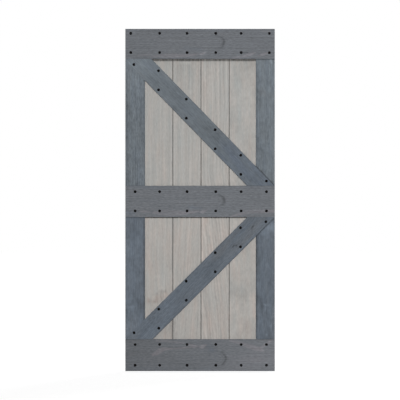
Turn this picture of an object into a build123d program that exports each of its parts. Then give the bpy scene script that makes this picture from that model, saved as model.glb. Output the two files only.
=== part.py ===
"""Sliding barn door leaf with a K-shaped front frame, in millimetres.

Six upright tongue-and-groove boards make the panel. Three rails, four stiles and two diagonal braces are
fixed flat on the front of it. Each brace runs from corner to corner of its bay, and the stiles are cut to
the brace. The leaf hangs from its top edge: the origin is at the middle of that edge, +Z is up, and the
framed front looks towards -Y.
"""

import os
from math import asin, atan2, degrees, hypot

from build123d import *

# Whole leaf
DOOR_WIDTH = 932.0
DOOR_HEIGHT = 2134.0
BOARD_THICKNESS = 20.0
FRAME_THICKNESS = 15.0

# Front frame
TOP_RAIL_HEIGHT = 187.0
MIDDLE_RAIL_HEIGHT = 195.0
BOTTOM_RAIL_HEIGHT = 199.0
LOWER_BAY_HEIGHT = 762.0  # clear height between the bottom and middle rails
LEFT_STILE_WIDTH = 122.5  # just covers the seam of the left edge board
RIGHT_STILE_WIDTH = 118.0
BRACE_WIDTH = 124.0
UPPER_BRACE_HEEL = 10.0  # blunt left end, upright and flush with the door's side; the right end is a point
LOWER_BRACE_HEEL = 4.0  # the same at both ends of the lower brace
EDGE_EASE = 2.0  # rounding of every front edge of the frame

# Panel boards
BOARD_PITCH = 176.0  # covered width of a full board, from seam to seam
NARROWEST_EDGE_BOARD = 60.0  # the two outer boards are ripped to width, but no narrower than this
SEAM_SHIFT = 6.0  # the seams stand this far to the right of a centred layout
SEAM_CHAMFER = 2.5  # each side of the V joint, on both faces
BACK_EDGE_CHAMFER = 1.5  # outer back corners of the panel
TONGUE_THICKNESS = 6.0
TONGUE_LENGTH = 8.0
TONGUE_NOSE = 1.0  # chamfer on the tip of the tongue
TONGUE_SIDE_CLEARANCE = 0.25
TONGUE_END_CLEARANCE = 1.0

# Planes and levels that the pieces share
LEAF_THICKNESS = BOARD_THICKNESS + FRAME_THICKNESS
SIDE = DOOR_WIDTH / 2
BOARD_FRONT_Y = FRAME_THICKNESS - LEAF_THICKNESS / 2
BOARD_FRONT = Plane.XZ.offset(-BOARD_FRONT_Y)
DOOR_BOTTOM = -DOOR_HEIGHT
BOTTOM_RAIL_TOP = DOOR_BOTTOM + BOTTOM_RAIL_HEIGHT
MIDDLE_RAIL_BOTTOM = BOTTOM_RAIL_TOP + LOWER_BAY_HEIGHT
MIDDLE_RAIL_TOP = MIDDLE_RAIL_BOTTOM + MIDDLE_RAIL_HEIGHT
TOP_RAIL_BOTTOM = -TOP_RAIL_HEIGHT


def seam_places():
    """X of every seam, from left to right: whole boards in the middle, a ripped board at each side."""
    room = DOOR_WIDTH - 2 * (NARROWEST_EDGE_BOARD + abs(SEAM_SHIFT))
    whole_boards = int(room // BOARD_PITCH)
    first = SEAM_SHIFT - whole_boards * BOARD_PITCH / 2
    return [first + i * BOARD_PITCH for i in range(whole_boards + 1)]


def upright_band(left, right, thickness):
    """A rectangle in the panel's cross-section, centred in the boards' thickness."""
    middle_y = BOARD_FRONT_Y + BOARD_THICKNESS / 2
    return Pos((left + right) / 2, middle_y) * Rectangle(right - left, thickness)


def board(left, right, grooved, tongued):
    """One upright board between two seams: groove on its left edge, tongue on its right, V joint at both."""
    section = upright_band(left, right, BOARD_THICKNESS)
    corners = section.vertices().group_by(Axis.X)
    for edge_corners, is_seam in ((corners[0], grooved), (corners[-1], tongued)):
        if is_seam:
            section = chamfer(edge_corners, SEAM_CHAMFER)
        else:
            section = chamfer(edge_corners.sort_by(Axis.Y)[-1], BACK_EDGE_CHAMFER)
    if tongued:
        tongue = upright_band(right, right + TONGUE_LENGTH, TONGUE_THICKNESS)
        section += chamfer(tongue.vertices().group_by(Axis.X)[-1], TONGUE_NOSE)
    if grooved:
        groove_end = left + TONGUE_LENGTH + TONGUE_END_CLEARANCE
        section -= upright_band(left, groove_end, TONGUE_THICKNESS + 2 * TONGUE_SIDE_CLEARANCE)
    return extrude(Pos(0, 0, DOOR_BOTTOM) * section, DOOR_HEIGHT)


def panel_boards():
    """The upright boards by name, from the left side of the door to the right."""
    edges = [-SIDE, *seam_places(), SIDE]
    last = len(edges) - 2
    boards = {}
    for i, (left, right) in enumerate(zip(edges, edges[1:])):
        name = {0: "left_edge_board", last: "right_edge_board"}.get(i, f"panel_board_{i}")
        boards[name] = board(left, right, grooved=i > 0, tongued=i < last)
    return boards


def frame_member(outline):
    """A piece of the front frame: its outline in elevation, thickened, with every front edge eased."""
    member = extrude(BOARD_FRONT * outline, FRAME_THICKNESS)
    front = member.faces().sort_by(Axis.Y)[0]
    return fillet(front.edges(), EDGE_EASE)


def elevation_box(left, right, low, high):
    """A rectangle in the front elevation."""
    return Pos((left + right) / 2, (low + high) / 2) * Rectangle(right - left, high - low)


def brace_strip(low, high, lean, left_heel, right_heel):
    """An endless board across a bay whose edges pass a heel away from two opposite corners.

    Parallel edges through those two points lie a board's width apart at one slope only:
    the slope of the diagonal plus the angle that the width takes up at its length.
    lean is 1 where the brace climbs to the right and -1 where it climbs to the left.
    """
    rise = high - low - left_heel - right_heel
    diagonal = hypot(DOOR_WIDTH, rise)
    slope = degrees(atan2(rise, DOOR_WIDTH) + asin(BRACE_WIDTH / diagonal))
    middle = (low + high + lean * (left_heel - right_heel)) / 2
    return Pos(0, middle) * Rot(0, 0, lean * slope) * Rectangle(2 * diagonal, BRACE_WIDTH)


def bay_members(name, low, high, lean, left_heel, right_heel):
    """The brace of one bay and the two stiles that are cut to it."""
    strip = brace_strip(low, high, lean, left_heel, right_heel)
    outlines = {f"{name}_brace": elevation_box(-SIDE, SIDE, low, high) & strip}
    stiles = {"left": (-SIDE, LEFT_STILE_WIDTH - SIDE), "right": (SIDE - RIGHT_STILE_WIDTH, SIDE)}
    for side, (left, right) in stiles.items():
        cut_to_brace = elevation_box(left, right, low, high) - strip
        outlines[f"{name}_{side}_stile"] = cut_to_brace.faces().sort_by(SortBy.AREA)[-1]
    return {piece: frame_member(outline) for piece, outline in outlines.items()}


def rails():
    """The three rails, each across the full width of the door."""
    levels = {
        "top_rail": (TOP_RAIL_BOTTOM, 0.0),
        "middle_rail": (MIDDLE_RAIL_BOTTOM, MIDDLE_RAIL_TOP),
        "bottom_rail": (DOOR_BOTTOM, BOTTOM_RAIL_TOP),
    }
    return {name: frame_member(elevation_box(-SIDE, SIDE, *span)) for name, span in levels.items()}


def barn_door():
    """Every piece of the leaf by name."""
    return {
        **panel_boards(),
        **rails(),
        **bay_members("upper", MIDDLE_RAIL_TOP, TOP_RAIL_BOTTOM, -1, UPPER_BRACE_HEEL, right_heel=0.0),
        **bay_members("lower", BOTTOM_RAIL_TOP, MIDDLE_RAIL_BOTTOM, 1, LOWER_BRACE_HEEL, LOWER_BRACE_HEEL),
    }


os.makedirs("parts", exist_ok=True)
for piece_name, piece in barn_door().items():
    export_step(piece, f"parts/{piece_name}.step")
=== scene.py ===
"""Looks of the sliding barn door leaf: brushed and stained pine, held by black screws.

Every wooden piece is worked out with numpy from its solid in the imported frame. A frame piece is a brushed
sheet between straight cuts, with an eased rim. A panel board is a tongue-and-groove profile carried up the
door. The numbers that shape the figure of the wood stay on the mesh as attributes, and the stain reads them
from there.

Lengths are in metres in the part's own frame: +Z is up and the framed front looks towards -Y. Places on
the front are written in millimetres: to the right of the door's middle, and above its top edge, so mostly
negative.
"""

from math import cos, pi, radians, sin, sqrt, tau

import bpy
import numpy as np
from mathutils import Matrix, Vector
from mathutils.geometry import convex_hull_2d


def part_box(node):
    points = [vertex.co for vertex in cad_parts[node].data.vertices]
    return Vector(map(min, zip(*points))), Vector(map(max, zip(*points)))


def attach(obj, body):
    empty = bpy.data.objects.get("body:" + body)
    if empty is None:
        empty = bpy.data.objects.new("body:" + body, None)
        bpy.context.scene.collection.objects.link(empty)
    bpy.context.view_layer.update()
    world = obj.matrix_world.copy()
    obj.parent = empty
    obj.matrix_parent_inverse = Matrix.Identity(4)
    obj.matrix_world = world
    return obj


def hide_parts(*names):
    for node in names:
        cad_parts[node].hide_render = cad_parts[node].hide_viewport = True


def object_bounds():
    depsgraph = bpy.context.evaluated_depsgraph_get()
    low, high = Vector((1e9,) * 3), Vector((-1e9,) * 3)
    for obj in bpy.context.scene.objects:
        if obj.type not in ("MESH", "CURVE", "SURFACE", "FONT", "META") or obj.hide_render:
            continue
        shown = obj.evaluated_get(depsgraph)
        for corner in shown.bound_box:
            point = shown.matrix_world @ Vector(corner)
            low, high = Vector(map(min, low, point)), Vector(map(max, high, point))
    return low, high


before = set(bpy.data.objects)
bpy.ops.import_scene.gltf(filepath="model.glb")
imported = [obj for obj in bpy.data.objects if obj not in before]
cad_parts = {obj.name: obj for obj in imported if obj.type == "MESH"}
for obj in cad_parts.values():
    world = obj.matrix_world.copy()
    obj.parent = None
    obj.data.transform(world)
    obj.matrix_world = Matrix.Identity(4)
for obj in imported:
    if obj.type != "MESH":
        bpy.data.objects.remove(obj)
cad_low, cad_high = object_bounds()

MM = 0.001

# Sizes of the solids that their boxes don't tell
EDGE_EASE = 2.0 * MM  # rounding of the frame's front edges
SEAM_CHAMFER = 2.5 * MM
BACK_EDGE_CHAMFER = 1.5 * MM
TONGUE_THICKNESS = 6.0 * MM
TONGUE_LENGTH = 8.0 * MM
TONGUE_NOSE = 1.0 * MM
GROOVE_THICKNESS = 6.5 * MM
GROOVE_DEPTH = 9.0 * MM
LEFT_STILE_WIDTH = 122.5 * MM

# What the making adds to the solids
CUT_END_EASE = 0.6 * MM  # ends that are cut to fit stay nearly sharp
SIDE_END_EASE = 1.5 * MM  # ends of the rails, at the door's sides
FITTED_EASE = 0.15 * MM  # where the left ends of the braces are fitted tight
FITTED_BLEND = (-4.0 * MM, 6.0 * MM)  # past the left stile's edge, where a brace goes from eased to fitted
EASE_WAVER = 0.18  # share by which the easing wavers
EASE_WAVE = 0.12  # length of its waves
FRONT_CORNER = 0.4 * MM  # the panel's outer front corners, under the frame
OPEN_JOINT = 0.4 * MM  # half of the gap that shows at the bottom of a V joint
BRUSH_DEPTH = 0.25 * MM  # how far brushing has worn the soft wood between the rings
BRUSHED_TO = EDGE_EASE / 2  # how far round an eased edge brushing reaches

# Where the edges are darker: stain that collects there, and on the frame pieces painted shade of the eased
# edges
EDGE_REACH = 3.5 * MM  # how far in from a frame piece's edge
UPPER_EDGE_LIT_SHARE = 0.3  # share of it on edges that look up, kept lighter as painted light from above
SIDE_DARKENING = 0.35  # share of it at the door's sides
SIDE_FADE = 18.0 * MM  # how far in from the door's sides that dies away
RETURN_DARKENING = 0.5  # share of it behind the easing
SEAM_STAIN = 3.2 * MM  # how far from a V joint's middle
STILE_SHELTER = 6.0 * MM  # how far beside the left stile the boards' front is free of a joint's stain
SEAM_RUB = 0.06  # how much paler the boards are rubbed beside a V joint
SEAM_RUB_PLACE = 8.0 * MM
SEAM_RUB_WIDTH = 4.0 * MM

# Painted shadows on the boards under two rails: a dark line for each rail's shadow, and a fading haze of
# painted
# shade below the top one: how far the lines reach in millimetres, how dark they are and how dark the haze is
PAINTED_RAIL_SHADOWS = {"top_rail": (14.0, 0.7, 0.13), "middle_rail": (7.8, 0.78, 0)}
SHADOW_LINE_EDGE = 1.5 * MM
SHADOW_HAZE_FADE = 45.0 * MM

# Fineness of the meshes
FRAME_STEP_ACROSS = 1.6 * MM
FRAME_STEP_ALONG = 6.0 * MM
BOARD_STEP_ACROSS = 2.2 * MM
BOARD_STEP_ALONG = 16.0 * MM
ROWS_NEAR_ENDS = np.array((0.0, 1.5, 4.0, 8.0)) * MM
EASE_STEPS = 4
SHARP_ANGLE = radians(40)

# How the cuts round a frame piece are told apart
SHORTEST_CUT = 1.0 * MM  # shorter sides of the outline are part of a corner
ALONG_GRAIN = 0.01  # a cut along the grain has less than this of its normal along it
UPRIGHT = 0.1  # upright grain has less than this across the door
SLANTED = 0.1  # the two parts of a slanting cut's normal have a larger product than this
LOOKS_UP = 0.5  # an edge that looks up has more than this of its normal upwards

# How the log that a piece was sawn from wavers: how far, and over what length
PITH_WAVE = 0.55
PITH_DEPTH_WAVER = 2.0 * MM
PITH_DEPTH_WAVE = 0.35
RING_WAVER = 0.22  # rings
RING_WAVE = 0.5
RING_WAVES_ACROSS = 9  # how many times closer the waves lie across the grain
SPACING_WAVE = 0.07

# How the figure shows
MARK_DEPTH = 10.0 * MM  # how deep below the face the marks go
RINGS_SHOW = (0.1, 0.7)  # slope of the rings to the face at which they start to show, and show fully
FAINT_SHOW = 0.25  # how much they show before that
HARD_RISE = (0.35, 0.85)  # where in a ring its hard late wood comes, and where it ends
HARD_FALL = (0.88, 1.0)
KNOT_PUSH = 1.5  # radii over which a knot pushes the rings aside
KNOT_REACH = 2.0  # radii over which a knot's own rings die away
KNOT_RINGS = 0.07  # how much paler and darker those are
YEAR_WIDTH = 0.5  # rings
STREAK_EDGE = (0.5, 1.1)  # half widths between which a sap streak ends
RAGGED_LEVEL = 0.8  # strength of pale and warm marks, and how far it wavers
RAGGED_WAVER = 0.3
RAGGED_WAVE = 0.3
RAGGED_WAVES_ACROSS = 8

# Figure of each piece, in millimetres on the front:
# pith: how far the log's middle lies across the grain from the piece's middle, and how far behind the face
# wander: how far the pith wavers, and by how many rings the rings' own spacing wavers
# lean: below what height the pith drifts across, and how far in each metre
# ring: width of a year's growth
# arches: where along the grain the pith starts to sink, over what length and how far, which closes the rings
# years: a place that a dark year's ring passes through, how far it shows, and how dark it is
# fade: how much paler the two ends are than the middle, the left or lower end first
# sap: pale warm streaks, as strength and a path whose points also give its half width
# warm, cool, pale, dark: soft strokes, as width, strength and path
# knots: place, radius and how many rings they push aside
MARKS = ("arches", "years", "sap", "warm", "cool", "pale", "dark", "knots")
PLAIN = dict(pith=(0, 60), wander=(2, 0), lean=(0, 0), ring=5, fade=(0, 0), **dict.fromkeys(MARKS, ()))
FIGURES = {
    "top_rail": dict(
        pith=(6, 19),
        ring=10,
        arches=((95, 95, 42),),
        years=((151, -76, 54, 0.52),),
        fade=(-0.05, 0.05),
        sap=(
            (
                0.9, (-300, -172, 6), (-238, -169, 14), (-157, -167, 16),
                (-88, -165, 10), (-38, -161, 8), (-5, -155, 2),
            ),
            (1.5, (-2, -158, 3), (15, -156, 9), (40, -141, 2)),
            (1.1, (205, -181, 4), (255, -174, 9), (299, -164, 13), (342, -150, 6)),
            (1.0, (361, -169, 5), (399, -157, 11), (430, -147, 5)),
            (0.9, (386, -13, 6), (436, -19, 9)),
            (0.6, (-387, -165, 5), (-331, -162, 7), (-300, -159, 3)),
        ),
        cool=((12, 0.6, (-90, -118), (0, -128)), (9, 0.35, (-450, -8), (440, -8))),
        pale=(
            (14, 0.06, (168, -60), (182, -88), (168, -118)),
            # painted light: a paler line on the rail's lower edge that lifts the shade of its easing
            (5, 0.2, (-460, -185), (460, -185)),
            (10, 0.3, (6, -157), (30, -150)),
            (14, 0.14, (235, -177), (320, -166)),
        ),
        dark=(
            (2.2, 0.6, (262, -148), (298, -147)),
            (6, 0.1, (-412, -181), (-330, -181)),
            (34, 0.07, (335, -75), (410, -100)),
            (18, 0.07, (-390, -18), (-260, -14)),
        ),
    ),
    "middle_rail": dict(
        pith=(3, 20),
        ring=9.5,
        arches=((95, 95, 34),),
        years=((152, -1062, 52, 0.52),),
        fade=(-0.05, 0.05),
        sap=(
            (
                1.55, (-290, -1145, 6), (-240, -1147, 18), (-175, -1150, 21),
                (-110, -1148, 16), (-69, -1145, 10),
            ),
            (1.5, (-69, -1145, 10), (-38, -1143, 9), (-4, -1135, 3)),
            (1.6, (-1, -1144, 4), (18, -1142, 12), (43, -1129, 3)),
            (
                1.1, (193, -1170, 3), (230, -1160, 8), (268, -1149, 12),
                (311, -1140, 15), (386, -1138, 15), (467, -1136, 12),
            ),
            (0.9, (-378, -1137, 3), (-347, -1139, 8), (-312, -1139, 3)),
        ),
        cool=(
            (18, 0.7, (-460, -1140), (-415, -1165)),
            (10, 0.7, (-63, -1113), (5, -1121)),
            (11, 0.5, (-437, -985), (-125, -990)),
            (18, 0.5, (290, -985), (450, -1000)),
        ),
        pale=(
            (14, 0.06, (170, -1050), (184, -1077), (170, -1105)),
            # painted light: a paler line on the rail's lower edge that lifts the shade of its easing
            (5, 0.2, (-460, -1171), (460, -1171)),
            (16, 0.05, (-240, -1148), (-110, -1148)),
            (9, 0.09, (6, -1142), (30, -1135)),
        ),
        dark=((5, 0.1, (-6, -1165), (-2, -1120)), (38, 0.07, (300, -1010), (405, -1080))),
    ),
    "bottom_rail": dict(
        pith=(-22, 19),
        ring=10,
        arches=((100, 95, 42),),
        years=((158, -2049, 58, 0.52),),
        fade=(-0.175, 0.18),
        sap=(
            (1.1, (-275, -1946, 4), (-213, -1948, 8), (-138, -1955, 8), (-100, -1959, 5)),
            (1.4, (-82, -1965, 5), (-44, -1975, 8), (-7, -1980, 2)),
            (
                1.9, (-294, -2030, 11), (-269, -2021, 17), (-247, -2006, 18),
                (-225, -1995, 12), (-175, -1994, 5),
            ),
            (1.2, (-175, -1994, 5), (-100, -1989, 6), (-44, -1986, 5), (-7, -1980, 2)),
            (2.0, (-1, -1984, 5), (15, -1982, 14), (40, -1968, 4)),
            (
                1.0, (186, -1945, 5), (236, -1955, 12), (286, -1973, 17),
                (336, -1989, 19), (374, -1999, 15), (399, -2008, 4),
            ),
            (0.8, (367, -1996, 4), (399, -1975, 11), (442, -1946, 8)),
        ),
        warm=((60, 0.4, (220, -2080), (460, -2060)),),
        cool=((20, 0.8, (40, -1960), (75, -2005)), (10, 0.4, (-440, -2118), (60, -2118))),
        pale=(
            (14, 0.05, (178, -2020), (188, -2052), (176, -2090)),
            (10, 0.18, (6, -1983), (30, -1974)),
            (16, 0.07, (-285, -2025), (-235, -2000)),
        ),
        dark=(
            (3, 0.25, (-466, -1938), (-350, -1938)),
            (3, 0.25, (350, -1938), (466, -1938)),
            (22, 0.06, (40, -1960), (75, -2005)),
        ),
    ),
    "upper_left_stile": dict(
        pith=(30, 60),
        fade=(0, 0.03),
        pale=(
            (45, 0.28, (-432, -230), (-400, -380)),
            (10, 0.2, (-448, -218), (-440, -228)),
            (14, 0.1, (-442, -288), (-438, -318)),
            (9, 0.16, (-358, -540), (-358, -578)),
        ),
        dark=(
            (24, 0.16, (-466, -190), (-466, -975)),
            (26, 0.1, (-343, -300), (-343, -975)),
            (9, 0.12, (-452, -246), (-436, -262)),
            (20, 0.14, (-456, -485), (-446, -530)),
        ),
    ),
    "upper_right_stile": dict(
        pith=(-36, 50),
        fade=(-0.02, 0.03),
        warm=((22, 0.5, (365, -390), (460, -425)),),
        pale=(
            (7, 0.5, (438, -196), (446, -212)),
            (30, 0.06, (440, -250), (440, -900)),
            (14, 0.1, (392, -295), (400, -325)),
            (6, 0.12, (374, -220), (372, -300)),
        ),
        dark=(
            (4, 0.65, (350, -190), (466, -190)),
            (3.5, 0.5, (344, -852), (470, -982)),
            (14, 0.12, (358, -300), (380, -330)),
            (16, 0.1, (362, -395), (450, -420)),
            (28, 0.07, (405, -540), (430, -580)),
            (7, 0.14, (354, -200), (354, -900)),
        ),
    ),
    "lower_left_stile": dict(
        pith=(-20, 70),
        dark=(
            (4, 0.4, (-466, -1176), (-350, -1176)),
            (8, 0.12, (-465, -1180), (-465, -1930)),
            (7, 0.4, (-349, -1176), (-349, -1850)),
            (18, 0.17, (-378, -1685), (-372, -1745)),
            (14, 0.15, (-424, -1765), (-405, -1775)),
            (10, 0.1, (-438, -1872), (-436, -1892)),
        ),
        pale=(
            (5, 0.3, (-456, -1848), (-455, -1872)),
            (8, 0.24, (-452, -1734), (-402, -1730)),
            (25, 0.1, (-430, -1350), (-410, -1440)),
            (25, 0.08, (-412, -1500), (-420, -1540)),
        ),
    ),
    "lower_right_stile": dict(
        pith=(26, 60),
        dark=(
            (8, 0.4, (351, -1290), (351, -1935)),
            (4, 0.45, (344, -1299), (470, -1173)),
            (14, 0.27, (360, -1668), (374, -1700), (386, -1730)),
            (16, 0.12, (413, -1770), (420, -1805)),
            (16, 0.08, (352, -1655), (366, -1690)),
            (12, 0.1, (372, -1840), (372, -1925)),
        ),
        pale=(
            (5, 0.6, (400, -1717), (408, -1723)),
            (8, 0.16, (412, -1722), (440, -1718)),
            (5.5, 0.5, (443, -1848), (446, -1882)),
            (4.5, 0.3, (414, -1905), (422, -1910)),
            (25, 0.06, (410, -1840), (425, -1900)),
            (42, 0.28, (400, -1250), (455, -1250)),
            (24, 0.31, (432, -1235), (458, -1230)),
            (10, 0.12, (372, -1345), (370, -1400)),
        ),
    ),
    "upper_brace": dict(
        pith=(-24, 56),
        fade=(0.05, 0.01),
        cool=((75, 0.8, (180, -760), (420, -1000)), (60, 0.6, (340, -905), (450, -990))),
        pale=(
            (55, 0.12, (-410, -190), (-330, -260)),
            (30, 0.09, (-440, -215), (-415, -240)),
            (8, 0.3, (-448, -214), (-436, -222)),
            (12, 0.12, (-345, -198), (-310, -206)),
            (9, 0.2, (-142, -396), (-128, -408)),
        ),
        dark=(
            (3.5, 0.5, (350, -858), (470, -982)),
            (80, 0.09, (60, -640), (320, -910)),
            (30, 0.14, (-295, -295), (-265, -322)),
            (32, 0.07, (-150, -430), (30, -620)),
            (22, 0.07, (255, -830), (350, -900)),
        ),
    ),
    "lower_brace": dict(
        pith=(18, 44),
        knots=((326, -1236, 13, 1.2), (210, -1357, 13, 1.2), (-290, -1800, 16, 0.8)),
        warm=((70, 0.5, (130, -1420), (430, -1130)),),
        dark=(
            (5.5, 0.45, (332, -1229), (321, -1246)),
            (5, 0.45, (227, -1349), (212, -1351), (205, -1359), (207, -1366)),
            (4, 0.45, (350, -1293), (470, -1173)),
            (40, 0.12, (130, -1425), (50, -1525)),
            (42, 0.06, (90, -1450), (-60, -1600)),
        ),
    ),
    "left_edge_board": dict(pith=(20, 60), ring=7),
    "panel_board_1": dict(
        pith=(-140, 40),
        wander=(5, 0.3),
        ring=24,
        fade=(-0.09, -0.01),
        knots=((-238, -1668, 24, 0.5),),
        pale=((9, 0.08, (-333, -1740), (-333, -1850)),),
        dark=(
            (10, 0.18, (-266, -1655), (-240, -1642), (-213, -1636)),
            (9, 0.25, (-290, -1703), (-262, -1694), (-240, -1690)),
            (14, 0.14, (-275, -1678), (-213, -1660)),
            (11, 0.27, (-320, -1690), (-318, -1704)),
            (6, 0.12, (-175, -1176), (-175, -1500)),
            (9, 0.12, (-176, -840), (-176, -930)),
            (9, 0.2, (-174, -1810), (-174, -1930)),
            (36, 0.1, (-280, -1915), (-185, -1865)),
        ),
        warm=(
            (15, 1.2, (-275, -1678), (-213, -1660)),
            (13, 0.9, (-290, -1703), (-240, -1690)),
            (11, 1.5, (-322, -1690), (-318, -1704)),
        ),
        cool=((120, 0.35, (-260, -190), (-260, -900)),),
    ),
    "panel_board_2": dict(
        pith=(150, 60),
        wander=(5, 0.3),
        lean=(-1100, -70),
        ring=22,
        fade=(-0.08, 0.025),
        pale=((6, 0.24, (-120, -211), (-62, -211)),),
        dark=(
            (26, 0.06, (-140, -230), (-138, -300)),
            (90, 0.06, (-90, -180), (-90, -330)),
            (10, 0.18, (-164, -1820), (-162, -1930)),
            (14, 0.1, (-14, -1780), (-12, -1850)),
            (6, 0.1, (-164, -1180), (-164, -1330)),
        ),
        cool=((120, 0.35, (-80, -190), (-80, -900)), (34, 0.4, (-60, -260), (-50, -320))),
        warm=((12, 0.6, (-60, -1180), (-80, -1500)), (10, 0.5, (-115, -1180), (-130, -1420))),
    ),
    "panel_board_3": dict(
        pith=(-190, 30),
        wander=(4, 0.35),
        lean=(-900, 95),
        ring=18.5,
        arches=((-1400, 260, 40),),
        fade=(-0.06, 0.03),
        pale=(
            (11, 0.14, (20, -1182), (44, -1225), (64, -1280)),
            (13, 0.14, (20, -1272), (34, -1320)),
            (9, 0.1, (14, -1390), (20, -1430)),
            (7, 0.14, (13, -1180), (15, -1440)),
            (5, 0.06, (56, -200), (56, -460)),
            (8, 0.07, (126, -220), (128, -360)),
        ),
        dark=((10, 0.12, (30, -340), (30, -460)), (12, 0.09, (22, -1790), (24, -1850))),
        warm=(
            (14, 1.0, (22, -1180), (26, -1440)),
            (12, 0.8, (42, -1180), (62, -1270), (78, -1400)),
            (10, 0.5, (60, -260), (70, -460)),
            (120, 0.25, (95, -1250), (95, -1935)),
        ),
        cool=((120, 0.3, (95, -190), (95, -900)), (9, 0.7, (46, -1215), (62, -1330))),
    ),
    "panel_board_4": dict(
        pith=(170, 80),
        wander=(5, 0.3),
        ring=26,
        fade=(-0.05, 0),
        pale=(
            (30, 0.09, (245, -1565), (335, -1545)),
            (22, 0.08, (248, -590), (265, -640)),
            (9, 0.14, (196, -215), (200, -300)),
            (9, 0.09, (337, -690), (339, -760)),
        ),
        dark=((34, 0.11, (200, -1645), (270, -1655)),),
        cool=(
            (120, 0.35, (270, -190), (270, -900)),
            (32, 0.6, (210, -510), (230, -560)),
            (36, 0.5, (215, -1610), (290, -1640)),
        ),
        warm=((20, 0.4, (285, -560), (300, -800)), (14, 0.8, (332, -1660), (336, -1800))),
    ),
    "right_edge_board": dict(pith=(-16, 64), ring=7),
}


# Fields that the wood's figure is made of


def waves(u, v, length, seed):
    """A smooth field from about -1 to 1 over the plane u, v.

    Seven plane waves, with seeded headings and phases and lengths near the one given, are added and scaled.
    """
    count = 7
    shortest, longest = 0.6, 1.7
    draw = np.random.default_rng(seed)
    headings = draw.uniform(0, tau, count)
    phases = draw.uniform(0, tau, count)
    stretches = draw.uniform(shortest, longest, count)
    total = np.zeros(np.broadcast(u, v).shape)
    for heading, phase, stretch in zip(headings, phases, stretches):
        total += np.sin(tau * (u * cos(heading) + v * sin(heading)) / (length * stretch) + phase)
    return total / sqrt(count)


def smooth_step(value, low, high):
    """0 below low, 1 above high, and the cubic 3x^2 - 2x^3 between them."""
    x = np.clip((value - low) / (high - low), 0, 1)
    return x * x * (3 - 2 * x)


def stretches_of(places, path):
    """Each straight stretch of a path: its ends, and how far along and how far from it every place lies."""
    path = np.asarray(path, float) * MM
    for start, end in zip(path, path[1:]):
        way = end[:2] - start[:2]
        share = np.clip(((places - start[:2]) @ way) / (way @ way), 0, 1)
        yield start, end, share, np.linalg.norm(places - start[:2] - share[..., None] * way, axis=-1)


def strokes(places, marks):
    """Soft marks added up: each is the bell curve exp(-(d / width)^2) of the distance d from its path."""
    total = np.zeros(len(places))
    for width, strength, *path in marks:
        nearest = np.min([away for _, _, _, away in stretches_of(places, path)], axis=0)
        total += strength * np.exp(-((nearest / (width * MM)) ** 2))
    return total


def sap_streaks(places, marks):
    """Streaks with a firm edge along paths whose points give the half width too, so they can end in a tip.

    The distance from the path is measured in half widths: a streak is full inside and ends over STREAK_EDGE.
    """
    total = np.zeros(len(places))
    for strength, *path in marks:
        nearest = np.inf
        for start, end, share, away in stretches_of(places, path):
            half_width = start[2] + (end[2] - start[2]) * share
            nearest = np.minimum(nearest, away / half_width)
        total += strength * (1 - smooth_step(nearest, *STREAK_EDGE))
    return total


def wood_fields(node, s, t, depth, places, t_middle, seed):
    """What the figure of a piece is at each point: its rings, its warm and cool parts and its marks.

    s runs along the grain, t across it and depth into the piece from its face; places are the same points
    on the front. A point's ring number is its distance from the pith, sqrt((t - t0)^2 + (depth + d0)^2), over
    the width of a ring. t0 wavers along the log, and d0 grows by a smooth step x at each arch. Rings show by
    their slope to the face, |t - t0| over that distance, and by 4x(1 - x) where an arch closes them. A knot
    pushes them aside by a bell curve of the distance from it, and has rings of its own, a cosine that dies
    away.
    """
    figure = {**PLAIN, **FIGURES[node]}
    across, behind = np.array(figure["pith"]) * MM
    wavers, uneven = figure["wander"]
    lean_from, lean_rate = figure["lean"]
    drift = lean_rate * MM * np.clip(lean_from * MM - s, 0, None)
    pith_across = t_middle + across + drift + wavers * MM * waves(s, 0 * s, PITH_WAVE, seed)
    pith_depth = behind + PITH_DEPTH_WAVER * waves(s, t, PITH_DEPTH_WAVE, seed + 1)
    closing = np.zeros_like(s)
    for start, length, sinks in figure["arches"]:
        sunk = smooth_step(s, start * MM, (start + length) * MM)
        pith_depth = pith_depth + sinks * MM * sunk
        closing = np.maximum(closing, 4 * sunk * (1 - sunk))
    from_pith = np.hypot(t - pith_across, depth + pith_depth)
    shows = np.maximum(smooth_step(np.abs(t - pith_across) / from_pith, *RINGS_SHOW), closing)
    rings = from_pith / (figure["ring"] * MM)
    rings += RING_WAVER * waves(s, RING_WAVES_ACROSS * t, RING_WAVE, seed + 2)
    rings += uneven * waves(0 * s, t, SPACING_WAVE, seed + 4)

    on_face = depth < MARK_DEPTH
    low_end, high_end = figure["fade"]
    tone = np.interp(s, (s.min(), s.mean(), s.max()), (low_end, 0, high_end))
    for x, z, radius, pushed in figure["knots"]:
        away = np.linalg.norm(places - np.array((x, z)) * MM, axis=-1) / (radius * MM)
        rings += pushed * np.exp(-((away / KNOT_PUSH) ** 2))
        tone += KNOT_RINGS * np.cos(tau * away) * np.exp(-((away / KNOT_REACH) ** 2)) * on_face
    for x, z, reach, strength in figure["years"]:
        away = np.linalg.norm(places - np.array((x, z)) * MM, axis=-1)
        year = rings[np.argmin(away + depth)]
        from_year = (rings - year) / YEAR_WIDTH
        tone -= strength * np.exp(-(from_year**2) - (away / (reach * MM)) ** 2) * on_face
    ragged = RAGGED_LEVEL + RAGGED_WAVER * waves(s, RAGGED_WAVES_ACROSS * t, RAGGED_WAVE, seed + 3)
    tone += (strokes(places, figure["pale"]) * ragged - strokes(places, figure["dark"])) * on_face
    warmth = strokes(places, figure["warm"]) - strokes(places, figure["cool"])
    warmth += sap_streaks(places, figure["sap"])
    return {
        "wood": np.column_stack((s + seed, t - drift, depth)),
        "rings": rings,
        "shows": FAINT_SHOW + (1 - FAINT_SHOW) * shows,
        "warmth": np.clip(warmth * ragged, -1, 1) * on_face,
        "tone": tone,
    }


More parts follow.
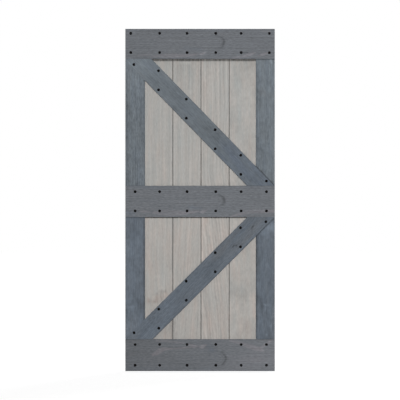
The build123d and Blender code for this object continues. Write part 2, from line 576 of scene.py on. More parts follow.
def brushed(rings):
    """Depth that brushing has taken from the face: least on the hard late wood that ends each ring."""
    through = rings - np.floor(rings)
    hard = smooth_step(through, *HARD_RISE) * (1 - smooth_step(through, *HARD_FALL))
    return BRUSH_DEPTH * (1 - hard)


# Meshes


def add_object(name, data):
    """Adds an object to the scene, at the origin."""
    made = bpy.data.objects.new(name, data)
    bpy.context.scene.collection.objects.link(made)
    return made


def add_piece(name, points, quads, caps, material):
    """Adds one closed piece of the leaf from its points, its four-sided faces and its flat end faces."""
    mesh = bpy.data.meshes.new(name)
    corners = np.concatenate([quads.ravel(), *caps]).astype(np.int32)
    sizes = np.concatenate([np.full(len(quads), 4), [len(cap) for cap in caps]])
    mesh.vertices.add(len(points))
    mesh.vertices.foreach_set("co", points.astype(np.float32).ravel())
    mesh.loops.add(len(corners))
    mesh.loops.foreach_set("vertex_index", corners)
    mesh.polygons.add(len(sizes))
    mesh.polygons.foreach_set("loop_start", np.concatenate([[0], np.cumsum(sizes)[:-1]]).astype(np.int32))
    mesh.update(calc_edges=True)
    mesh.shade_smooth()
    mesh.set_sharp_from_angle(angle=SHARP_ANGLE)
    mesh.materials.append(material)
    piece = add_object(name, mesh)
    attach(piece, "root")
    return piece


def add_timber(node, points, quads, caps, fields, material, slot):
    """Adds a wooden piece that stands for a node, with the fields of its figure as attributes."""
    piece = add_piece(node + "_timber", points, quads, caps, material)
    for name, values in fields.items():
        kind, key = ("FLOAT_VECTOR", "vector") if values.ndim == 2 else ("FLOAT", "value")
        attribute = piece.data.attributes.new(name, kind, "POINT")
        attribute.data.foreach_set(key, values.astype(np.float32).ravel())
    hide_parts(node)


def even_shares(length, step):
    """Shares of a length from 0 to 1, in even steps near the one given."""
    return np.linspace(0, 1, max(2, round(length / step) + 1))


def shares_with_ends(length, step):
    """Shares of a length from 0 to 1, in even steps, with the closer rows of ROWS_NEAR_ENDS at both ends."""
    inner = ROWS_NEAR_ENDS[-1] + step / 2
    middle = inner + (length - 2 * inner) * even_shares(length - 2 * inner, step)
    return np.concatenate([ROWS_NEAR_ENDS, middle, length - ROWS_NEAR_ENDS[::-1]]) / length


def grid_quads(rows, columns):
    """Corner numbers of the faces of a grid whose points are numbered row by row."""
    first = (np.arange(rows - 1)[:, None] * columns + np.arange(columns - 1)).ravel()
    return np.column_stack((first, first + columns, first + columns + 1, first + 1))


def band_quads(rings):
    """Corner numbers of the faces between closed rings of points, one ring a row."""
    following = np.roll(rings, -1, axis=1)
    return np.stack((rings[:-1], rings[1:], following[1:], following[:-1]), axis=-1).reshape(-1, 4)


# Frame pieces: a sheet between straight cuts, with an eased rim


def cuts_of(node):
    """The straight cuts round a frame piece, seen from the front, and the direction of its grain.

    The solid's points are wrapped in their convex hull, and each side of that is a cut: an outward normal,
    and the reach of the solid along it. The grain runs along the longest side, to the right or, where that is
    upright, upwards.
    """
    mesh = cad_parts[node].data
    points = np.empty(len(mesh.vertices) * 3, np.float32)
    mesh.vertices.foreach_get("co", points)
    seen = points.reshape(-1, 3)[:, [0, 2]].astype(float)
    hull = seen[convex_hull_2d(seen.tolist())]
    sides = np.roll(hull, -1, axis=0) - hull
    lengths = np.linalg.norm(sides, axis=1)
    kept = lengths > SHORTEST_CUT
    headings = sides[kept] / lengths[kept, None]
    normals = np.column_stack((headings[:, 1], -headings[:, 0]))
    normals *= np.sign(((hull[kept] - seen.mean(0)) * normals).sum(1))[:, None]
    grain = headings[np.argmax(lengths[kept])]
    grain = grain * np.sign(grain[0] if abs(grain[0]) > UPRIGHT else grain[1])
    return normals, (seen @ normals.T).max(0), grain


def between_cuts(cuts, along, across, inset):
    """Where shares of a board's length and width lie, once its cuts are drawn in by an inset.

    The cuts along the grain bound t, the way across. At each t, a cut with normal n and reach c crosses the
    grain at s = (c - t n.b) / n.a, with a along the grain and b across it. The board starts at the farthest
    of the cuts behind it and ends at the nearest of those ahead.
    """
    normals, reach, grain = cuts
    ahead = normals @ grain
    aside = normals @ np.array((-grain[1], grain[0]))
    edge = np.abs(ahead) < ALONG_GRAIN
    low = -reach[edge & (aside < 0)].min()
    high = reach[edge & (aside > 0)].min()
    t = low + inset + (high - low - 2 * inset) * across
    drawn_in = reach - np.asarray(inset)[..., None]
    with np.errstate(divide="ignore"):
        met = (drawn_in - t[..., None] * aside) / ahead
    start = np.where(~edge & (ahead < 0), met, -np.inf).max(-1)
    end = np.where(~edge & (ahead > 0), met, np.inf).min(-1)
    return start + (end - start) * along, t


def on_front(cuts, s, t):
    """The place on the front, across and up the door, of a point s along the grain and t across it."""
    grain = cuts[2]
    return s[..., None] * grain + t[..., None] * np.array((-grain[1], grain[0]))


def edge_rules(node, cuts, places):
    """How much the nearest cut is eased at each place, and how dark the edges are: collected stain and
    painted shade.

    Long edges are eased and cut ends stay nearly sharp. The joints at the left ends of the braces are fitted
    so tight that they hardly show. The edges darken as exp(-(d / EDGE_REACH)^2) with the distance d from an
    edge: stain that collects there, and painted shade on the eased edges. Edges that look up get less of it,
    which is painted light from above. Towards the door's sides they darken as exp(-d / SIDE_FADE).
    """
    normals, reach, grain = cuts
    long_edge = np.abs(normals @ grain) < ALONG_GRAIN
    slanted = np.abs(normals[:, 0] * normals[:, 1]) > SLANTED
    eases = np.where(long_edge, EDGE_EASE, SIDE_END_EASE if node.endswith("rail") else CUT_END_EASE)
    # painted light: edges that look up keep less of the darkening, since light falls from above
    darkening_shares = np.where(normals[:, 1] > LOOKS_UP, UPPER_EDGE_LIT_SHARE, 1.0)
    if node.endswith("left_stile"):
        eases = np.where(slanted, FITTED_EASE, eases)
        darkening_shares = np.where(slanted, 0, darkening_shares)
    inside = reach - places @ normals.T
    ease = eases[np.argmin(inside, axis=1)]
    darkened = (np.exp(-((inside / EDGE_REACH) ** 2)) * darkening_shares).max(1)
    if node.endswith("brace"):
        past_stile = -places[:, 0] - (cad_high.x - LEFT_STILE_WIDTH)
        fitted = smooth_step(past_stile, *FITTED_BLEND)
        ease = ease + (FITTED_EASE - ease) * fitted
        darkened *= 1 - fitted
    from_side = cad_high.x - np.abs(places[:, 0])
    return ease, np.maximum(darkened, SIDE_DARKENING * np.exp(-from_side / SIDE_FADE))


def frame_piece(node, seed):
    """A rail, stile or brace as points, faces, end faces and fields.

    The front is a grid of shares along and across the grain. Its outline is carried out and back through a
    quarter round, then straight to the boards, and the back is closed by one flat face.
    """
    cuts = cuts_of(node)
    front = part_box(node)[0].y
    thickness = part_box(node)[1].y - front
    corner_s, corner_t = between_cuts(cuts, np.array((0, 1, 0, 1)), np.array((0, 0, 1, 1)), 0.0)
    along = shares_with_ends(np.ptp(corner_s), FRAME_STEP_ALONG)
    across = even_shares(np.ptp(corner_t), FRAME_STEP_ACROSS)
    rows, columns = len(along), len(across)
    sheet = np.arange(rows * columns).reshape(rows, columns)
    loop = np.concatenate([sheet[:, 0], sheet[-1, 1:], sheet[-2::-1, -1], sheet[0, -2:0:-1]])
    share_along, share_across = np.repeat(along, columns), np.tile(across, rows)
    rim_shares = share_along[loop], share_across[loop]

    outline = on_front(cuts, *between_cuts(cuts, *rim_shares, 0.0))
    ease, _ = edge_rules(node, cuts, outline)
    ease = (np.roll(ease, 1) + ease + np.roll(ease, -1)) / 3
    ease = ease * (1 + EASE_WAVER * waves(outline[:, 0], outline[:, 1], EASE_WAVE, seed + 5))
    turn = np.linspace(0, pi / 2, EASE_STEPS + 1)[1:, None]
    insets = np.vstack((ease * (1 - np.sin(turn)), 0 * ease))
    depths = np.vstack((ease * (1 - np.cos(turn)), 0 * ease + thickness))
    rim_s, rim_t = between_cuts(cuts, *rim_shares, insets)

    s, t = between_cuts(cuts, share_along, share_across, EDGE_EASE)
    s[loop], t[loop] = between_cuts(cuts, *rim_shares, ease)
    s, t = np.concatenate([s, rim_s.ravel()]), np.concatenate([t, rim_t.ravel()])
    depth = np.concatenate([np.zeros(sheet.size), depths.ravel()])
    places = on_front(cuts, s, t)
    fields = wood_fields(node, s, t, depth, places, corner_t.mean(), seed)
    _, darkened = edge_rules(node, cuts, places)
    # darkening near the edges, from collected stain and painted shade of the eased edges
    fields["edge"] = np.where(depth > 2 * EDGE_EASE, RETURN_DARKENING, 1) * darkened
    worn = np.where(depth < BRUSHED_TO, brushed(fields["rings"]), 0)
    points = np.column_stack((places[:, 0], front + depth + worn, places[:, 1]))

    rim = sheet.size + np.arange(insets.size).reshape(insets.shape)
    quads = np.vstack((grid_quads(rows, columns), band_quads(np.vstack((loop, rim)))))
    return points, quads, [rim[-1, ::-1]], fields


# Panel boards: a tongue-and-groove profile carried up the door


def board_face(width, thickness, grooved, tongued, corner):
    """One face of a board's cross-section, from its left edge to its right, as x and depth below the face.

    A joint is a chamfer, a shoulder and half of the tongue or groove, and a plain edge has the corner given.
    The flat between them lies at depth 0.
    """
    groove, tongue = (thickness - GROOVE_THICKNESS) / 2, (thickness - TONGUE_THICKNESS) / 2
    left, first = [(0, corner)], corner
    right, last = [(width, corner)], width - corner
    if grooved:
        left = [(GROOVE_DEPTH, groove), (OPEN_JOINT, groove), (OPEN_JOINT, SEAM_CHAMFER - OPEN_JOINT)]
        first = SEAM_CHAMFER
    if tongued:
        shoulder, tip = width - OPEN_JOINT, width + TONGUE_LENGTH
        right = [(shoulder, SEAM_CHAMFER - OPEN_JOINT), (shoulder, tongue)]
        right += [(tip - TONGUE_NOSE, tongue), (tip, tongue + TONGUE_NOSE)]
        last = width - SEAM_CHAMFER
    flat = first + (last - first) * even_shares(last - first, BOARD_STEP_ACROSS)
    return np.vstack((left, np.column_stack((flat, 0 * flat)), right))


def painted_rail_shadow(z):
    """How dark the painted shadows under the rails are at a height: full from the rail's lower edge to their
    reach.

    The painted haze of shade below them dies away as exp(-d / SHADOW_HAZE_FADE) with the distance d from the
    rail.
    """
    total = np.zeros_like(z)
    for rail, (reach, strength, haze) in PAINTED_RAIL_SHADOWS.items():
        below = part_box(rail)[0].z - z
        ends = smooth_step(below, reach * MM - SHADOW_LINE_EDGE, reach * MM + SHADOW_LINE_EDGE)
        dust_and_painted_haze = haze * np.exp(-np.clip(below, 0, None) / SHADOW_HAZE_FADE)
        total += smooth_step(below, -SHADOW_LINE_EDGE, 0) * np.maximum(strength * (1 - ends), dust_and_painted_haze)
    return total


def shadow_line_rows():
    """Heights at which the boards need rows of points for the painted shadow lines under the rails."""
    rows = []
    for rail, (reach, _, _) in PAINTED_RAIL_SHADOWS.items():
        end = reach * MM
        below = np.array((-SHADOW_LINE_EDGE, 0, end / 2, end - SHADOW_LINE_EDGE, end, end + SHADOW_LINE_EDGE))
        rows.append(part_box(rail)[0].z - below)
    return np.concatenate(rows)


def panel_board(node, seed, grooved, tongued):
    """A panel board as points, faces, end faces and fields.

    Its section's ring of points, the front face and then the back, is repeated from the bottom to the top.
    """
    low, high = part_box(node)
    width = high.x - low.x - (TONGUE_LENGTH if tongued else 0)
    thickness = high.y - low.y
    front = board_face(width, thickness, grooved, tongued, FRONT_CORNER)
    back = board_face(width, thickness, grooved, tongued, BACK_EDGE_CHAMFER)[::-1]
    ring_x = np.concatenate([front[:, 0], back[:, 0]])
    ring_depth = np.concatenate([front[:, 1], thickness - back[:, 1]])
    inward = 1.0 * (ring_depth == 0) - (ring_depth == thickness)

    up = low.z + (high.z - low.z) * shares_with_ends(high.z - low.z, BOARD_STEP_ALONG)
    up = np.union1d(up, shadow_line_rows())
    rows, columns = len(up), len(ring_x)
    s, t = np.repeat(up, columns), np.tile(low.x + ring_x, rows)
    depth = np.tile(ring_depth, rows)
    fields = wood_fields(node, s, t, depth, np.column_stack((t, s)), low.x + width / 2, seed)
    if grooved and tongued:
        # painted shadow of the rails on the boards' front
        fields["tone"] -= painted_rail_shadow(s) * (depth < SEAM_CHAMFER)
    to_left = ring_x if grooved else np.inf
    to_right = width - ring_x if tongued else np.inf
    to_seam = np.minimum(to_left, to_right)
    darkened = np.exp(-((np.clip(to_seam, 0, None) / SEAM_STAIN) ** 2))
    sheltered = low.x + ring_x < cad_low.x + LEFT_STILE_WIDTH + STILE_SHELTER
    darkened[sheltered & (ring_depth < thickness / 2)] = 0
    fields["edge"] = np.tile(darkened, rows)
    rubbed = SEAM_RUB * np.exp(-(((to_seam - SEAM_RUB_PLACE) / SEAM_RUB_WIDTH) ** 2))
    fields["tone"] += np.tile(rubbed, rows)
    worn = brushed(fields["rings"]) * np.tile(inward, rows)
    points = np.column_stack((t, low.y + depth + worn, s))

    ring = np.arange(rows * columns).reshape(rows, columns)
    return points, band_quads(ring[::-1]), [ring[0, ::-1], ring[-1]], fields


# Shader nodes


class ShaderTree:
    """Short ways to add nodes to one shader tree. A value may be a socket, a number or a colour."""

    def __init__(self, tree):
        self.tree = tree

    def node(self, kind, inputs=(), **settings):
        """A new node of a kind, with its settings made and its inputs filled."""
        made = self.tree.nodes.new("ShaderNode" + kind)
        for name, value in settings.items():
            setattr(made, name, value)
        self.fill(made, inputs)
        return made

    def fill(self, node, inputs):
        """Fills a node's inputs, by name or number: links a socket, sets a value and leaves None as it is."""
        for socket, value in dict(inputs).items():
            if isinstance(value, bpy.types.NodeSocket):
                self.tree.links.new(value, node.inputs[socket])
            elif value is not None:
                node.inputs[socket].default_value = value

    def group(self, group, **inputs):
        """The outputs of a shader group that is placed in this tree with its own inputs."""
        return self.node("Group", inputs, node_tree=group).outputs

    def math(self, operation, a, b=None, c=None):
        """The result of one operation."""
        return self.node("Math", {0: a, 1: b, 2: c}, operation=operation).outputs[0]

    def between(self, value, low, high, to_low=0.0, to_high=1.0, kind="SMOOTHSTEP"):
        """A value's way from low to high, held at both ends, as a way from to_low to to_high."""
        limits = {0: value, 1: low, 2: high, 3: to_low, 4: to_high}
        return self.node("MapRange", limits, interpolation_type=kind).outputs[0]

    def mix(self, share, a, b):
        """The colour a where the share is 0 or less, b where it is 1 or more."""
        return self.node("Mix", {0: share, 6: a, 7: b}, data_type="RGBA").outputs[2]

    def brightened(self, colour, factor):
        """A colour times a factor."""
        return self.node("HueSaturation", {"Color": colour, "Value": factor}).outputs[0]

    def noise(self, vector, stretch, detail=2.0, roughness=0.5):
        """Noise from about -1 to 1 whose size along each axis is one over stretch."""
        place = self.node("Mapping", {"Vector": vector, "Scale": stretch}, vector_type="POINT").outputs[0]
        settings = {"Vector": place, "Scale": 1.0, "Detail": detail, "Roughness": roughness}
        spread = 4.0
        return self.math("MULTIPLY_ADD", self.node("TexNoise", settings).outputs[0], spread, -spread / 2)


SOCKETS = {"value": "NodeSocketFloat", "vector": "NodeSocketVector"}


def new_group(name, inputs, outputs):
    """An empty shader group with named sockets: its tree, what it is given, and the node of its outputs."""
    group = bpy.data.node_groups.new(name, "ShaderNodeTree")
    for side, sockets in (("INPUT", inputs), ("OUTPUT", outputs)):
        for socket, kind in sockets.items():
            group.interface.new_socket(socket, in_out=side, socket_type=SOCKETS[kind])
    given, out = group.nodes.new("NodeGroupInput"), group.nodes.new("NodeGroupOutput")
    return ShaderTree(group), given.outputs, out


def new_material(name):
    """A new material, its shader tree and its Principled BSDF."""
    material = bpy.data.materials.new(name)
    material.use_nodes = True
    return material, ShaderTree(material.node_tree), material.node_tree.nodes["Principled BSDF"]


# Stretches are how often a noise changes in a metre: along the grain, across it and into the wood
FRAY_STRETCH = (5, 150, 150)
FRAY = 0.10  # how many rings the line of a ring frays
LATE_RISE = (0.4, 0.9)  # where in a ring its dark late wood comes, and where it ends
LATE_FALL = (0.92, 1.0)
FAINTEST_YEAR = 0.25
FIBRES = {  # stretch and detail
    "Patch": ((5, 14, 14), 2.0),
    "Cloud": ((6, 9, 9), 3.0),
    "Wide streak": ((4, 40, 40), 2.0),
    "Stripe": ((1.2, 75, 75), 2.0),
    "Streak": ((6, 100, 100), 2.0),
    "Line": ((2.2, 170, 170), 1.0),
    "Fleck": ((14, 150, 150), 2.0),
    "Speck": ((45, 190, 190), 1.0),
    "Mottle": ((26, 40, 40), 2.0),
    "Fibre": ((35, 1100, 1100), 2.0),
}
FIBRE_ROUGHNESS = 0.55
EDGE_BREAK_STRETCH = (25, 60, 60)
EDGE_BREAK_DETAIL = 3.0
EDGE_BREAK = (0.9, 0.18)  # strength of the darkening at edges and joints (stain, and painted shade on the frame), and how far it wavers


def growth_rings_group():
    """Late wood of each year: it darkens slowly through a ring and stops short at its end.

    A value drawn from each ring's number makes some years show more than others.
    """
    tree, given, out = new_group("growth_rings", {"Rings": "value", "Wood": "vector"}, {"Late wood": "value"})
    frayed = tree.math("MULTIPLY", tree.noise(given["Wood"], FRAY_STRETCH), FRAY)
    count = tree.math("ADD", given["Rings"], frayed)
    through = tree.math("FRACT", count)
    rise = tree.between(through, *LATE_RISE)
    fall = tree.between(through, *LATE_FALL, 1.0, 0.0)
    number = tree.math("FLOOR", count)
    year = tree.node("TexWhiteNoise", {"W": number}, noise_dimensions="1D").outputs["Value"]
    strength = tree.between(year, 0.0, 1.0, FAINTEST_YEAR, 1.0, "LINEAR")
    late = tree.math("MULTIPLY", tree.math("MULTIPLY", rise, fall), strength)
    tree.fill(out, {"Late wood": late})
    return tree.tree


def fibre_group():
    """Patches, clouds, streaks, lines, flecks, mottling and fine fibre: noise drawn out along the grain."""
    tree, given, out = new_group("fibre", {"Wood": "vector"}, dict.fromkeys(FIBRES, "value"))
    for name, (stretch, detail) in FIBRES.items():
        tree.fill(out, {name: tree.noise(given["Wood"], stretch, detail, FIBRE_ROUGHNESS)})
    return tree.tree


def edge_darkening_group():
    """Darkening along edges and joints, broken up by noise: collected stain, and painted shade on eased frame
    edges.
    """
    tree, given, out = new_group("edge_darkening", {"Edge": "value", "Wood": "vector"}, {"Darkened": "value"})
    level, wavers = EDGE_BREAK
    noise = tree.noise(given["Wood"], EDGE_BREAK_STRETCH, EDGE_BREAK_DETAIL)
    uneven = tree.math("MULTIPLY_ADD", noise, wavers, level)
    tree.fill(out, {"Darkened": tree.math("MULTIPLY", given["Edge"], uneven)})
    return tree.tree


# Stained pine

FRAME_SHOWS = {
    "Late wood": 0.1,
    "Cloud": 0.2,
    "Wide streak": 0.04,
    "Fleck": 0.17,
    "Speck": 0.12,
    "Mottle": 0.16,
    "Fibre": 0.04,
}
# Stains: the colour between the rings, the colours where the wood is warmer or cooler, how dark the edges and
# joints get from collected stain and, on the frame, painted shade, how much the colour wavers, and how
# strongly each part of the figure shows
STAINS = {
    "rail": dict(
        colour=(0.133, 0.143, 0.158),
        warm=(0.176, 0.174, 0.191),
        cool=(0.120, 0.136, 0.161),
        edge=0.12,
        tint=0.08,
        shows={
            "Late wood": 0.2,
            "Cloud": 0.03,
            "Line": 0.15,
            "Fleck": 0.06,
            "Speck": 0.22,
            "Mottle": 0.03,
            "Fibre": 0.04,
        },
    ),
    "upper_frame": dict(
        colour=(0.121, 0.142, 0.161),
        warm=(0.136, 0.148, 0.160),
        cool=(0.105, 0.128, 0.162),
        edge=0.1,
        tint=0.25,
        shows=FRAME_SHOWS,
    ),
    "lower_frame": dict(
        colour=(0.105, 0.127, 0.155),
        warm=(0.118, 0.127, 0.140),
        cool=(0.095, 0.120, 0.155),
        edge=0.3,
        tint=0.25,
        shows={**FRAME_SHOWS, "Cloud": 0.26},
    ),
    "panel": dict(
        colour=(0.387, 0.370, 0.350),
        warm=(0.425, 0.375, 0.345),
        cool=(0.347, 0.354, 0.345),
        edge=0.65,
        tint=0.5,
        shows={
            "Late wood": 0.06,
            "Cloud": 0.04,
            "Stripe": 0.10,
            "Streak": 0.03,
            "Fleck": 0.05,
            "Speck": 0.08,
            "Mottle": 0.03,
            "Fibre": 0.04,
        },
    ),
}
WOOD_ROUGHNESS = 0.66
LATE_WOOD_SHEEN = 0.1  # how much less rough the late wood is
WOOD_SPECULAR = 0.25
LATE_WOOD_RELIEF = 0.6  # shares of the fine relief
FIBRE_RELIEF = 0.4
RELIEF_STRENGTH = 0.35
RELIEF_HEIGHT = 0.3 * MM
FIGURE_FIELDS = ("rings", "shows", "warmth", "tone", "edge")


def stained_pine(node, stain, strength, changes, groups):
    """Material of one wooden piece: its rings, fibre and marks as stained colour, sheen and fine relief."""
    values = STAINS[stain]
    shows = {**values["shows"], **changes}
    late_share = shows.pop("Late wood")
    material, tree, shader = new_material(node + "_stain")
    read = {name: tree.node("Attribute", attribute_name=name).outputs["Fac"] for name in FIGURE_FIELDS}
    wood = tree.node("Attribute", attribute_name="wood").outputs["Vector"]
    late_wood = tree.group(groups["rings"], Rings=read["rings"], Wood=wood)["Late wood"]
    late = tree.math("MULTIPLY", late_wood, read["shows"])
    fibre = tree.group(groups["fibre"], Wood=wood)
    darkened = tree.group(groups["edge"], Edge=read["edge"], Wood=wood)["Darkened"]

    colour, warm, cool = ((*(np.array(values[name]) * strength), 1) for name in ("colour", "warm", "cool"))
    warmth = tree.math("MULTIPLY_ADD", fibre["Patch"], values["tint"], read["warmth"])
    warmth = tree.math("MULTIPLY_ADD", fibre["Wide streak"], values["tint"], warmth)
    shade = tree.mix(warmth, colour, warm)
    shade = tree.mix(tree.math("MULTIPLY", warmth, -1.0), shade, cool)
    factor = tree.math("ADD", read["tone"], 1.0)
    for name, share in shows.items():
        factor = tree.math("MULTIPLY_ADD", fibre[name], share, factor)
    # late wood darkens the colour, and so do the edges, by collected stain and by painted shade of the easing
    for mask, share in ((late, late_share), (darkened, values["edge"])):
        factor = tree.math("MULTIPLY", factor, tree.math("MULTIPLY_ADD", mask, -share, 1.0))

    raised = tree.math("MULTIPLY", fibre["Fibre"], FIBRE_RELIEF)
    height = tree.math("MULTIPLY_ADD", late, LATE_WOOD_RELIEF, raised)
    bump = tree.node("Bump", {"Height": height, "Strength": RELIEF_STRENGTH, "Distance": RELIEF_HEIGHT})
    finish = {
        "Base Color": tree.brightened(shade, factor),
        "Roughness": tree.math("MULTIPLY_ADD", late, -LATE_WOOD_SHEEN, WOOD_ROUGHNESS),
        "Specular IOR Level": WOOD_SPECULAR,
        "Normal": bump.outputs[0],
    }
    tree.fill(shader, finish)
    return material


# Screws

SCREW_RADIUS = 8.8 * MM
SCREW_HEIGHT = 2.4 * MM
SCREW_LIP = 0.6 * MM  # upright edge of the head
SCREW_SUNK = 0.3 * MM
SCREW_SIDES = 48
DOME_SHARES = np.array((0, 0.2, 0.4, 0.6, 0.8, 0.92, 1.0))  # rings of the dome, from the drive outwards
DRIVE_RADIUS = 2.3 * MM
DRIVE_LOBES = 6
DRIVE_LOBE_DEPTH = 0.16  # share of the radius
DRIVE_DEPTH = 1.5 * MM
DRIVE_DIMPLE = 0.25 * MM  # how much deeper the middle of the drive's floor is
DRIVE_SHARES = np.array((0.02, 0.6, 0.93))  # rings of the drive's floor
COATING = ((0.0008, 0.0008, 0.0009, 1), (0.0024, 0.0022, 0.0022, 1))  # clean and dusty
COATING_ROUGHNESS = (0.5, 0.08)  # level, and how far it wavers
COATING_SPECULAR = 0.03
DUST_STRETCH = (700, 700, 700)
DUST_DETAIL = 3.0
DUST_LIMITS = (-0.6, 1.2)

# Where the screws stand, in millimetres: columns across the door and rows below its top edge; on the braces
# pairs, one above and one below each place given, and one at each end
TOP_COLUMNS = (-432, -252, -81, 98, 256, 432)
RAIL_COLUMNS = (-405, -252, -81, 98, 256, 414)
RAIL_ROWS = {"top_rail": (-28, -148), "middle_rail": (-1015, -1135), "bottom_rail": (-1968, -2097)}
BRACE_PAIRS = {
    "upper_brace": ((-259, -320.5), (-86, -497.5), (94, -688.5), (254, -847.5)),
    "lower_brace": ((-257.5, -1806.5), (-86, -1632.5), (94, -1455), (252, -1299.5)),
}
BRACE_HALF_PITCH = 59.5
BRACE_ENDS = {
    "upper_brace": ((-413, -222.5), (414, -949)),
    "lower_brace": ((-411.5, -1894.5), (410.5, -1202.5)),
}


def screw_head():
    """A truss head with a six-lobed drive, as rings of points, standing on the plane y = 0 towards -Y.

    Each ring is r(angle) and a height. From the drive outwards r passes from the lobed curve
    r0 (1 + k cos 6 angle) to the round edge, and the height follows the dome h sqrt(1 - (r / R)^2) above
    the lip.
    """
    angle = np.arange(SCREW_SIDES) / SCREW_SIDES * tau
    lobed = DRIVE_RADIUS * (1 + DRIVE_LOBE_DEPTH * np.cos(DRIVE_LOBES * angle))
    dome_r = lobed + (SCREW_RADIUS - lobed) * DOME_SHARES[:, None]
    dome_h = SCREW_LIP + (SCREW_HEIGHT - SCREW_LIP) * np.sqrt(np.clip(1 - (dome_r / SCREW_RADIUS) ** 2, 0, 1))
    floor_h = 0 * lobed + SCREW_HEIGHT - DRIVE_DEPTH
    r = np.vstack((DRIVE_SHARES[:, None] * lobed, dome_r, 0 * lobed + SCREW_RADIUS))
    height = np.vstack((floor_h - DRIVE_DIMPLE, floor_h, floor_h, dome_h, 0 * lobed - SCREW_SUNK))
    return np.stack((r * np.cos(angle), -height, r * np.sin(angle)), axis=-1)


def screw_places():
    """Where the screws stand on each frame piece, across and up the door."""
    places = {}
    for node, rows in RAIL_ROWS.items():
        columns = TOP_COLUMNS if node == "top_rail" else RAIL_COLUMNS
        places[node] = np.array([(x, z) for z in rows for x in columns]) * MM
    for node, middles in BRACE_PAIRS.items():
        pairs = [(x, z + side * BRACE_HALF_PITCH) for x, z in middles for side in (1, -1)]
        places[node] = np.array([*pairs, *BRACE_ENDS[node]]) * MM
    return places


def add_screws(node, places, seed, material):
    """All the screws of one frame piece as one mesh: the head repeated, each turned by a seeded angle."""
    head = screw_head()
    rings, sides = head.shape[:2]
    draw = np.random.default_rng(seed)
    turn = draw.uniform(0, tau, len(places))[:, None, None]
    x = head[..., 0] * np.cos(turn) - head[..., 2] * np.sin(turn) + places[:, 0, None, None]
    z = head[..., 0] * np.sin(turn) + head[..., 2] * np.cos(turn) + places[:, 1, None, None]
    y = np.broadcast_to(head[..., 1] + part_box(node)[0].y, x.shape)
    points = np.stack((x, y, z), axis=-1).reshape(-1, 3)
    one = np.arange(rings * sides).reshape(rings, sides)
    starts = np.arange(len(places)) * one.size
    quads = (band_quads(one) + starts[:, None, None]).reshape(-1, 4)
    caps = [one[0] + start for start in starts] + [one[-1, ::-1] + start for start in starts]
    add_piece(node + "_screws", points, quads, caps, material)


def black_coating():
    """Material of the screws: black, a little paler and rougher where dust has settled."""
    material, tree, shader = new_material("black_coating")
    place = tree.node("TexCoord").outputs["Object"]
    dust_and_painted_haze = tree.noise(place, DUST_STRETCH, DUST_DETAIL)
    level, wavers = COATING_ROUGHNESS
    finish = {
        "Base Color": tree.mix(tree.between(dust_and_painted_haze, *DUST_LIMITS), *COATING),
        "Roughness": tree.math("MULTIPLY_ADD", dust_and_painted_haze, wavers, level),
        "Specular IOR Level": COATING_SPECULAR,
    }
    tree.fill(shader, finish)
    return material


# The door

# How each piece is stained: which stain, how pale it came out, and where its figure shows more or less
PIECES = {
    "top_rail": ("rail", 0.965, {}),
    "middle_rail": ("rail", 0.97, {}),
    "bottom_rail": ("rail", 0.872, {}),
    "upper_left_stile": ("upper_frame", 0.97, {"Cloud": 0.16, "Line": 0.22, "Speck": 0.24}),
    "upper_right_stile": ("upper_frame", 1.09, {"Line": 0.12}),
    "upper_brace": ("upper_frame", 0.975, {"Cloud": 0.14, "Mottle": 0.11}),
    "lower_left_stile": ("lower_frame", 1.02, {}),
    "lower_right_stile": ("lower_frame", 0.935, {}),
    "lower_brace": (
        "lower_frame",
        0.91,
        {"Cloud": 0.14, "Streak": 0.1, "Fleck": 0.16, "Speck": 0.22, "Mottle": 0.05},
    ),
    "left_edge_board": ("panel", 1.0, {}),
    "panel_board_1": ("panel", 1.0, {}),
    "panel_board_2": ("panel", 1.0, {}),
    "panel_board_3": ("panel", 1.025, {"Late wood": 0.15, "Cloud": 0.02, "Stripe": 0.15}),
    "panel_board_4": ("panel", 1.02, {"Cloud": 0.13, "Stripe": 0.0, "Fleck": 0.0, "Mottle": 0.07}),
    "right_edge_board": ("panel", 1.0, {}),
}
SLOTS = {
    "rail": "rail_stain",
    "upper_frame": "frame_stain",
    "lower_frame": "frame_stain",
    "panel": "panel_stain",
}
FIRST_WOOD_SEED = 3
WOOD_SEED_STEP = 10  # more than the fields of one piece use
FIRST_SCREW_SEED = 500


def add_door():
    """Adds every wooden piece and the screws on the frame."""
    groups = {"rings": growth_rings_group(), "fibre": fibre_group(), "edge": edge_darkening_group()}
    for number, (node, (stain, strength, changes)) in enumerate(PIECES.items()):
        seed = FIRST_WOOD_SEED + WOOD_SEED_STEP * number
        if stain == "panel":
            grooved, tongued = node != "left_edge_board", node != "right_edge_board"
            shape = panel_board(node, seed, grooved, tongued)
        else:
            shape = frame_piece(node, seed)
        add_timber(node, *shape, stained_pine(node, stain, strength, changes, groups), SLOTS[stain])
    coating = black_coating()
    for number, (node, places) in enumerate(screw_places().items()):
        add_screws(node, places, FIRST_SCREW_SEED + number, coating)


# The studio

# The lamps: which way they shine, how strong they are and how many degrees wide. The key lamp shines square
# onto the front from a little above, the other from behind the door on its right
LAMPS = {
    "key_lamp": ((0.0, 0.993, -0.122), 2.38, 6),
    "back_lamp": ((-0.5, -0.86, -0.1), 2.3, 20),
}
WORLD_LIGHT = 0.17
FLOOR_REACH = 30.0  # metres each way
FLOOR_GAP = 0.1 * MM
FLOOR_COLOUR = (0.8, 0.8, 0.8, 1)
FLOOR_GLOW = 0.77  # lifts the lit floor to white for the camera
WHITE = (1, 1, 1, 1)

# The camera stands square to the front, far enough off for the sides to stay hidden
FOCAL_LENGTH = 200.0  # millimetres
SENSOR = 36.0  # width, in millimetres
SEES_TO = 100.0  # metres, past the floor's far corners
PHOTO_SIDE = 400.0  # pixels
DOOR_PIXELS = 342.3  # height of the door in the photograph
DOOR_CENTRE = (200.06, 200.0)  # pixels


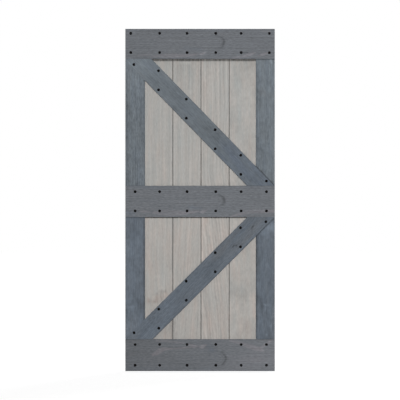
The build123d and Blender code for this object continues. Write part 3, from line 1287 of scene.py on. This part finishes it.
def seen_directly(tree):
    """1 for what the camera sees, straight or mirrored or through glass, and 0 for light on its way."""
    path = tree.node("LightPath").outputs
    mirrored = tree.math("MAXIMUM", path["Is Glossy Ray"], path["Is Transmission Ray"])
    return tree.math("MAXIMUM", path["Is Camera Ray"], mirrored)


def add_world_and_lamps():
    """Surroundings that look white and light the door only faintly, and the lamps."""
    world = bpy.data.worlds.new("studio")
    bpy.context.scene.world = world
    world.use_nodes = True
    tree = ShaderTree(world.node_tree)
    background = world.node_tree.nodes["Background"]
    strength = tree.between(seen_directly(tree), 0.0, 1.0, WORLD_LIGHT, 1.0, "LINEAR")
    tree.fill(background, {"Color": WHITE, "Strength": strength})
    for name, (towards, strength, spread) in LAMPS.items():
        lamp = bpy.data.lights.new(name, "SUN")
        lamp.energy = strength
        lamp.angle = radians(spread)
        holder = add_object(name, lamp)
        holder.rotation_mode = "QUATERNION"
        holder.rotation_quaternion = Vector(towards).to_track_quat("-Z", "Y")


def add_floor():
    """A pale square floor under the door, which shows white to the camera but keeps the door's shadow."""
    corners = np.array([(-1, -1), (1, -1), (1, 1), (-1, 1)]) * FLOOR_REACH
    points = np.column_stack((corners, np.full(len(corners), cad_low.z - FLOOR_GAP)))
    mesh = bpy.data.meshes.new("floor")
    mesh.from_pydata(points.tolist(), [], [(0, 1, 2, 3)])
    floor = add_object("floor", mesh)
    material, tree, _ = new_material("studio_floor")
    tree.tree.nodes.clear()
    matt = tree.node("BsdfDiffuse", {"Color": FLOOR_COLOUR})
    glow = tree.node("Emission", {"Strength": tree.math("MULTIPLY", seen_directly(tree), FLOOR_GLOW)})
    both = tree.node("AddShader", {0: matt.outputs[0], 1: glow.outputs[0]})
    tree.node("OutputMaterial", {"Surface": both.outputs[0]})
    mesh.materials.append(material)


def add_camera():
    """A long lens square to the front, as far off as makes the door DOOR_PIXELS tall."""
    pixel = (cad_high.z - cad_low.z) / DOOR_PIXELS
    distance = pixel * PHOTO_SIDE * FOCAL_LENGTH / SENSOR
    camera = bpy.data.cameras.new("camera")
    camera.lens = FOCAL_LENGTH
    camera.sensor_width = SENSOR
    camera.clip_end = SEES_TO
    holder = add_object("camera", camera)
    right, down = (place - PHOTO_SIDE / 2 for place in DOOR_CENTRE)
    middle = (cad_low + cad_high) / 2
    holder.location = (middle.x - right * pixel, cad_low.y - distance, middle.z + down * pixel)
    holder.rotation_euler = (pi / 2, 0, 0)
    bpy.context.scene.camera = holder


add_door()
add_floor()
add_world_and_lamps()
add_camera()
bpy.context.scene.view_settings.view_transform = "Standard"
